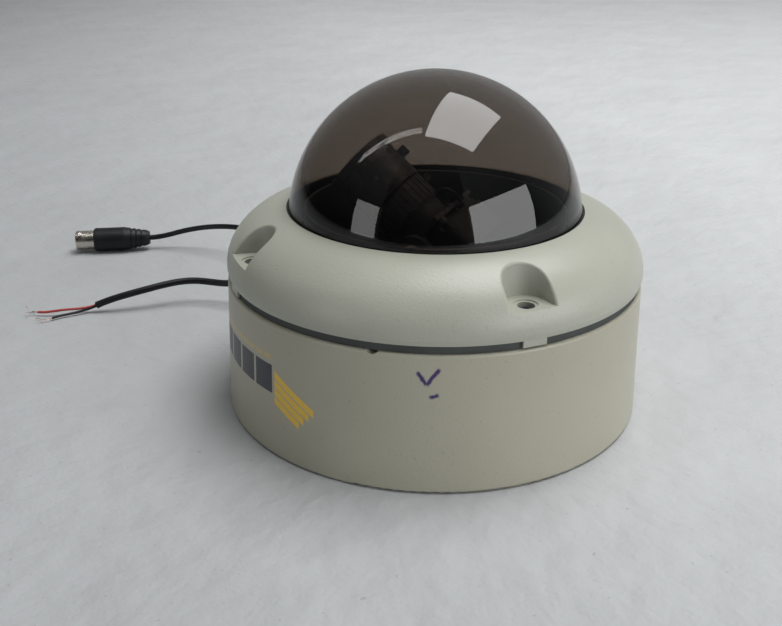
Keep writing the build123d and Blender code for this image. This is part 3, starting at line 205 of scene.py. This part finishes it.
def band(tree, value, low, high, soft=0.00012):
    """One inside the range, zero outside, with a slightly soft edge."""
    rise = spread(tree, value, low - soft, low + soft, 0.0, 1.0)
    fall = spread(tree, value, high - soft, high + soft, 1.0, 0.0)
    return calc(tree, "MULTIPLY", rise, fall)


def both(tree, first, second):
    """Where two masks overlap."""
    return calc(tree, "MULTIPLY", first, second)


def either(tree, masks):
    """Everything covered by any of the masks."""
    joined = masks[0]
    for mask in masks[1:]:
        joined = calc(tree, "MAXIMUM", joined, mask)
    return joined


def stroke(tree, across, up, start, end, width):
    """A pen stroke between two points of the wall, each given as (across, up) in metres."""
    run = (end[0] - start[0], end[1] - start[1])
    length = math.hypot(*run)
    way = (run[0] / length, run[1] / length)
    x = calc(tree, "SUBTRACT", across, start[0])
    y = calc(tree, "SUBTRACT", up, start[1])
    along = calc(tree, "ADD", calc(tree, "MULTIPLY", x, way[0]), calc(tree, "MULTIPLY", y, way[1]))
    x_beside = calc(tree, "MULTIPLY", x, way[1])
    y_beside = calc(tree, "MULTIPLY", y, way[0])
    beside = calc(tree, "SUBTRACT", x_beside, y_beside)
    wobble = calc(tree, "MULTIPLY", calc(tree, "SUBTRACT", noise(tree, 700), 0.5), width * 0.8)
    beside = calc(tree, "ADD", beside, wobble)
    return both(
        tree,
        band(tree, along, 0.0, length, width * 0.3),
        band(tree, beside, -width / 2, width / 2, width * 0.2),
    )


def printed_blocks(tree, across, up):
    """Navy blocks in a row, running off to the left."""
    blocks = []
    for index in range(BLOCK_COUNT):
        right_end = -index * (BLOCK_WIDTH + BLOCK_GAP)
        blocks.append(band(tree, across, right_end - BLOCK_WIDTH, right_end))
    return both(tree, either(tree, blocks), band(tree, up, BLOCK_BOTTOM, BLOCK_TOP))


def printed_stripes(tree, across, up):
    """Slanting stripes on the right of the blocks, each shorter than the one above."""
    slant = calc(tree, "ADD", up, calc(tree, "MULTIPLY", across, STRIPE_SLOPE))
    stripes = []
    for index in range(STRIPE_COUNT):
        middle = STRIPE_TOP - index * STRIPE_PITCH
        right_end = STRIPE_LENGTH - index * STRIPE_STEP
        stripes.append(
            both(
                tree,
                band(tree, slant, middle - STRIPE_WIDTH / 2, middle + STRIPE_WIDTH / 2),
                band(tree, across, BLOCK_GAP, right_end),
            )
        )
    return either(tree, stripes)


def printed_dashes(tree, across, up):
    """A row of short dashes above the blocks."""
    row_length = BLOCK_COUNT * (BLOCK_WIDTH + BLOCK_GAP)
    row = both(
        tree,
        band(tree, across, -row_length, 0.0),
        band(tree, up, DASH_BOTTOM, DASH_BOTTOM + DASH_HEIGHT),
    )
    repeat = calc(tree, "PINGPONG", across, DASH_REPEAT)
    return both(tree, row, calc(tree, "GREATER_THAN", repeat, DASH_GAP))


def base_paint():
    """The base casting: powder coat with plain printed bars and a violet pen tick."""
    material, tree, surface = new_material("base_paint")
    x, y, up = node(tree, "ShaderNodeSeparateXYZ", {0: place(tree)}).outputs
    azimuth = calc(tree, "ARCTAN2", y, x)
    # distance round the wall from the right end of the blocks
    across = calc(tree, "MULTIPLY", calc(tree, "SUBTRACT", azimuth, PRINT_AZIMUTH), BASE_R)
    squares = calc(tree, "ADD", calc(tree, "MULTIPLY", x, x), calc(tree, "MULTIPLY", y, y))
    radius = calc(tree, "SQRT", squares)
    outside = calc(tree, "GREATER_THAN", radius, BASE_R_INSIDE)
    worn = spread(tree, noise(tree, 260, detail=4.0), 0.30, 0.36, 0.86, 1.0)
    printed = both(tree, worn, outside)
    marks = [stroke(tree, across, up, start, end, PEN_WIDTH) for start, end in PEN_STROKES]
    paint = blend(tree, both(tree, printed_blocks(tree, across, up), printed), CREAM, NAVY)
    paint = blend(tree, both(tree, printed_stripes(tree, across, up), printed), paint, OCHRE)
    paint = blend(tree, both(tree, printed_dashes(tree, across, up), printed), paint, PALE_OCHRE)
    paint = blend(tree, both(tree, either(tree, marks), outside), paint, VIOLET)
    powder_coat(tree, paint, surface)
    return material


def cover_paint():
    """The cover and the other castings: the same powder coat, a little greyer."""
    material, tree, surface = new_material("cover_paint")
    powder_coat(tree, PALE_GREY, surface)
    return material


def smoked_bubble():
    """Thin smoked polycarbonate: light goes straight through and is tinted at the outer skin."""
    material, tree, surface = new_material("smoked_bubble")
    from_middle = node(
        tree,
        "ShaderNodeVectorMath",
        {0: place(tree), 1: (0.0, 0.0, DOME_MIDDLE)},
        operation="DISTANCE",
    )
    outer = calc(tree, "GREATER_THAN", from_middle.outputs["Value"], DOME_SPLIT)
    geometry = tree.nodes.new("ShaderNodeNewGeometry")
    facing = node(
        tree,
        "ShaderNodeVectorMath",
        {0: geometry.outputs["Normal"], 1: geometry.outputs["Incoming"]},
        operation="DOT_PRODUCT",
    )
    grazing = calc(tree, "SUBTRACT", 1.0, calc(tree, "ABSOLUTE", facing.outputs["Value"]))
    rise = calc(tree, "MULTIPLY", calc(tree, "POWER", grazing, 5.0), MIRROR_GRAZING)
    mirror = calc(tree, "ADD", MIRROR_HEAD_ON, rise)
    mirror = calc(tree, "MULTIPLY", mirror, spread(tree, outer, 0.0, 1.0, INNER_SKIN_SHARE, 1.0))
    specks = spread(tree, noise(tree, 1400, detail=1.0), 0.74, 0.80, 0.0, 0.2)
    haze = calc(tree, "MULTIPLY", calc(tree, "MAXIMUM", specks, DUST), outer)
    tint = blend(tree, outer, grey(0.99), colour(0.345, 0.304, 0.270))
    clear = node(tree, "ShaderNodeBsdfTransparent", {"Color": tint})
    gloss = node(tree, "ShaderNodeBsdfGlossy", {"Color": grey(1.0), "Roughness": 0.006})
    body = node(tree, "ShaderNodeMixShader", {0: mirror, 1: clear.outputs[0], 2: gloss.outputs[0]})
    film = node(tree, "ShaderNodeBsdfDiffuse", {"Color": colour(0.30, 0.32, 0.36)})
    mixed = node(tree, "ShaderNodeMixShader", {0: haze, 1: body.outputs[0], 2: film.outputs[0]})
    tree.links.new(mixed.outputs[0], surface)
    return material


def plain(name, base, roughness, relief=0.00001, scale=1800, vary=0.12, coat=0.0, ior=1.5):
    """A material with fine relief, uneven roughness and slightly uneven colour."""
    material, tree, surface = new_material(name)
    fine = noise(tree, scale, detail=3.0)
    broad = noise(tree, 140, detail=4.0)
    dark = tuple(channel * (1 - vary) for channel in base[:3]) + (1.0,)
    light = tuple(min(1.0, channel * (1 + vary)) for channel in base[:3]) + (1.0,)
    tone = blend(tree, spread(tree, broad, 0.3, 0.7, 0.0, 1.0), dark, light)
    shader = node(
        tree,
        "ShaderNodeBsdfPrincipled",
        {
            "Base Color": tone,
            "Roughness": spread(tree, broad, 0.3, 0.7, roughness * 0.85, min(1.0, roughness * 1.2)),
            "Coat Weight": coat,
            "IOR": ior,
            "Normal": bump(tree, fine, relief),
        },
    )
    tree.links.new(shader.outputs[0], surface)
    return material


def turned_metal(name, base, roughness):
    """Metal with fine lines, as left by a lathe or a brush."""
    material, tree, surface = new_material(name)
    lines = node(
        tree,
        "ShaderNodeTexWave",
        {"Vector": place(tree), "Scale": 900.0, "Distortion": 3.0, "Detail": 2.0},
    )
    cloud = noise(tree, 400, detail=4.0)
    shader = node(
        tree,
        "ShaderNodeBsdfPrincipled",
        {
            "Base Color": blend(tree, cloud, tuple(c * 0.8 for c in base[:3]) + (1.0,), base),
            "Metallic": 1.0,
            "Roughness": spread(tree, cloud, 0.3, 0.7, roughness * 0.8, roughness * 1.3),
            "Normal": bump(tree, lines.outputs["Fac"], 0.000004),
        },
    )
    tree.links.new(shader.outputs[0], surface)
    return material


def coated_glass():
    """Lens glass: clear, with a violet and green anti-reflection coating."""
    material, tree, surface = new_material("coated_glass")
    facing = node(tree, "ShaderNodeLayerWeight", {"Blend": 0.35}).outputs["Facing"]
    tint = blend(tree, facing, colour(0.35, 0.25, 0.85), colour(0.30, 0.75, 0.45))
    clear = node(tree, "ShaderNodeBsdfTransparent", {"Color": colour(0.55, 0.60, 0.62)})
    gloss = node(tree, "ShaderNodeBsdfGlossy", {"Color": tint, "Roughness": 0.03})
    amount = spread(tree, facing, 0.0, 1.0, 0.10, 0.75)
    smudge = calc(tree, "MULTIPLY", noise(tree, 300, detail=3.0), 0.05)
    mixed = node(
        tree,
        "ShaderNodeMixShader",
        {0: calc(tree, "ADD", amount, smudge), 1: clear.outputs[0], 2: gloss.outputs[0]},
    )
    tree.links.new(mixed.outputs[0], surface)
    return material


def circuit_board():
    """Black solder mask with faint tracks."""
    material, tree, surface = new_material("circuit_board")
    bricks = node(
        tree,
        "ShaderNodeTexBrick",
        {"Vector": place(tree), "Scale": 260.0, "Mortar Size": 0.06},
    )
    tracks = bricks.outputs["Fac"]
    tone = blend(tree, tracks, colour(0.006, 0.009, 0.008), colour(0.014, 0.020, 0.017))
    relief = bump(tree, tracks, 0.00003)
    shader = node(
        tree,
        "ShaderNodeBsdfPrincipled",
        {"Base Color": tone, "Roughness": 0.32, "Normal": relief},
    )
    tree.links.new(shader.outputs[0], surface)
    return material


def pale_paper_painted_shade():
    """The sheet it stands on, with painted shade: its colour is slightly darker towards the near
    left.
    """
    material, tree, surface = new_material("pale_paper_painted_shade")
    x, y, _ = node(tree, "ShaderNodeSeparateXYZ", {0: place(tree)}).outputs
    # painted shade: the paper's colour ramps from darker at the near left to lighter at the far
    # right
    painted_shade = spread(tree, calc(tree, "ADD", x, y), -0.15, 0.45, 0.0, 1.0)
    paper_with_painted_shade = blend(tree, painted_shade, colour(0.405, 0.416, 0.422), colour(0.560, 0.572, 0.574))
    mottle = noise(tree, 14, detail=6.0, roughness=0.6)
    clouds = blend(tree, spread(tree, mottle, 0.3, 0.7, 0.0, 1.0), grey(0.96), grey(1.04))
    flecks = spread(tree, noise(tree, 420, detail=1.0), 0.22, 0.26, 0.80, 1.0)
    relief = bump(tree, mottle, 0.004)
    relief = bump(tree, noise(tree, 55, detail=3.0), 0.0010, normal=relief)
    relief = bump(tree, noise(tree, 190, detail=4.0), 0.00025, normal=relief)
    shader = node(
        tree,
        "ShaderNodeBsdfPrincipled",
        {
            "Base Color": times(tree, times(tree, paper_with_painted_shade, clouds), flecks),
            "Roughness": 0.8,
            "Specular IOR Level": 0.2,
            "Normal": relief,
        },
    )
    tree.links.new(shader.outputs[0], surface)
    return material


MATERIALS = {
    "cream_casting": cover_paint(),
    "smoked_dome": smoked_bubble(),
    "black_rubber": plain(
        "black_rubber", colour(0.007, 0.008, 0.010), 0.45, 0.00002, 900, ior=1.36
    ),
    "gasket_rubber": plain(
        "gasket_rubber", colour(0.046, 0.052, 0.049), 0.70, 0.00004, 700, vary=0.3
    ),
    "black_plastic": plain("black_plastic", colour(0.022, 0.024, 0.028), 0.33, 0.00002, 1400),
    "black_steel": plain("black_steel", colour(0.048, 0.050, 0.056), 0.30, 0.00001, 2400),
    "bright_steel": turned_metal("bright_steel", colour(0.56, 0.56, 0.57), 0.30),
    "black_aluminium": plain("black_aluminium", colour(0.042, 0.044, 0.050), 0.27, 0.000006, 3000),
    "lens_glass": coated_glass(),
    "circuit_board": circuit_board(),
    "brass_spacer": turned_metal("brass_spacer", colour(0.72, 0.50, 0.20), 0.28),
    "sensor_chip": plain("sensor_chip", colour(0.05, 0.05, 0.07), 0.12, coat=0.6),
    "nylon": plain("nylon", colour(0.62, 0.61, 0.56), 0.45),
    "cable_jacket": plain(
        "cable_jacket", colour(0.007, 0.008, 0.010), 0.38, 0.00002, 1100, ior=1.36
    ),
    "red_jacket": plain("red_jacket", colour(0.40, 0.045, 0.040), 0.40, 0.00001, 1600),
    "nickel": turned_metal("nickel", colour(0.62, 0.58, 0.52), 0.26),
    "white_insulator": plain("white_insulator", colour(0.72, 0.72, 0.68), 0.40),
    "gold_contact": turned_metal("gold_contact", colour(0.80, 0.56, 0.22), 0.25),
    "bare_copper": turned_metal("bare_copper", colour(0.55, 0.42, 0.36), 0.35),
}
MATERIALS_BY_NODE = {"base_housing": base_paint()}

for part in frame["record"]["subparts"]:
    name = part["node"]
    finish = MATERIALS_BY_NODE.get(name, MATERIALS[part["material_slot"]])
    mesh = frame["nodes"][name].data
    mesh.materials.clear()
    mesh.materials.append(finish)

# ---- floor --------------------------------------------------------------------------

FLOOR_R = 8.0
FLOOR_DROP = 0.2 * MM
bpy.ops.mesh.primitive_circle_add(
    vertices=96, radius=FLOOR_R, fill_type="NGON", location=(0, 0, -FLOOR_DROP)
)
floor = bpy.context.object
floor.name = "floor"
floor.data.materials.append(pale_paper_painted_shade())

# ---- lights -------------------------------------------------------------------------


def toward(azimuth, elevation, distance):
    """A point seen from the dome in one direction, both angles in degrees."""
    a, e = math.radians(azimuth), math.radians(elevation)
    return Vector((math.cos(a) * math.cos(e), math.sin(a) * math.cos(e), math.sin(e))) * distance


def panel(name, centre, aim, width, height, radiance, tint=(1.0, 1.0, 1.0)):
    """A rectangular lamp with one radiance all over its face, turned to the aim point."""
    data = bpy.data.lights.new(name, "AREA")
    data.shape = "RECTANGLE"
    data.size = width
    data.size_y = height
    data.energy = radiance * math.pi * width * height
    data.color = tint
    lamp = bpy.data.objects.new(name, data)
    lamp.location = centre
    lamp.rotation_euler = (aim - centre).to_track_quat("-Z", "Y").to_euler()
    lamp.visible_camera = False
    bpy.context.collection.objects.link(lamp)
    return lamp


DOME = Vector((0, 0, 0.08))
CEILING = Vector((0.36, 0.51, 1.82))
ceiling = panel("ceiling_panel", CEILING, CEILING - Vector((0, 0, 1)), 1.08, 1.66, 6.6)
ceiling.rotation_euler = (0, 0, math.radians(5))
panel("front_right_window", DOME + toward(-15, 10.5, 2.3), DOME, 2.25, 1.35, 3.9, (0.97, 0.98, 1.0))
panel("front_left_window", DOME + toward(-124, 7, 2.3), DOME, 0.80, 1.05, 2.3)
# two tubes beyond the dark card, which light the floor around but aren't seen in the dome
for index in range(2):
    place_of_lamp = DOME + toward(-51, 28.5 + 1.3 * index, 2.4)
    panel(f"far_lamp_{index + 1}", place_of_lamp, DOME, 0.42, 0.018, 16.0)

# a dark card behind the camera, where the photographer stands
bpy.ops.mesh.primitive_plane_add(size=1.0)
card = bpy.context.object
card.name = "dark_card"
card.scale = (0.80, 1.10, 1.0)
card.location = toward(-78, 0, 0.62) + Vector((0, 0, 0.60))
card.rotation_euler = (Vector((0, 0, 0.60)) - card.location).to_track_quat("Z", "Y").to_euler()
card.visible_camera = False
card.data.materials.append(plain("dark_cloth", colour(0.020, 0.020, 0.022), 0.9))

# a louvred tube along the ceiling, seen in the dome as a few thin lines side by side
TUBE_FROM = Vector((-2.70, -1.30, 2.4))
TUBE_TO = Vector((-0.28, -0.27, 2.4))
TUBE_GAP = 0.075
run = TUBE_TO - TUBE_FROM
beside = run.cross(Vector((0, 0, 1))).normalized()
for index in (-1, 0, 1):
    middle = (TUBE_FROM + TUBE_TO) / 2 + beside * TUBE_GAP * index
    tube = panel(f"tube_{index + 2}", middle, middle - Vector((0, 0, 1)), run.length, 0.009, 24.0)
    tube.rotation_euler = (0, 0, math.atan2(run.y, run.x))

# ---- room ---------------------------------------------------------------------------

world = bpy.data.worlds.new("room")
bpy.context.scene.world = world
world.use_nodes = True
tree = world.node_tree
direction = tree.nodes.new("ShaderNodeTexCoord").outputs["Generated"]
axes = node(tree, "ShaderNodeSeparateXYZ", {0: direction})
height = spread(tree, axes.outputs["Z"], 0.0, 0.7, 0.02, 0.15)
right = spread(tree, axes.outputs["X"], -1.0, 1.0, 0.75, 1.1)
# the far side of the room is light, and shows round the edge of the bubble
behind = spread(tree, axes.outputs["Y"], 0.1, 0.9, 0.0, 0.30)
glow = calc(tree, "ADD", calc(tree, "MULTIPLY", height, right), behind)
background = tree.nodes["Background"]
put(tree, background.inputs["Strength"], glow)
background.inputs["Color"].default_value = colour(0.94, 0.98, 1.0)

# ---- camera -------------------------------------------------------------------------

EYE = Vector((0.1136, -0.3121, 0.1741))
FORWARD = Vector((-0.3523, 0.8452, -0.4018)).normalized()
UP = Vector((-0.1596, 0.3688, 0.9157)).normalized()
RIGHT = FORWARD.cross(UP).normalized()
camera = bpy.data.objects.new("camera", bpy.data.cameras.new("camera"))
camera.data.lens = 45.13
camera.data.sensor_width = 36.0
camera.data.clip_start = 0.01
turn = Matrix((RIGHT, RIGHT.cross(FORWARD), -FORWARD)).transposed()
camera.matrix_world = Matrix.Translation(EYE) @ turn.to_4x4()
bpy.context.collection.objects.link(camera)
bpy.context.scene.camera = camera
bpy.context.scene.view_settings.view_transform = "Standard"
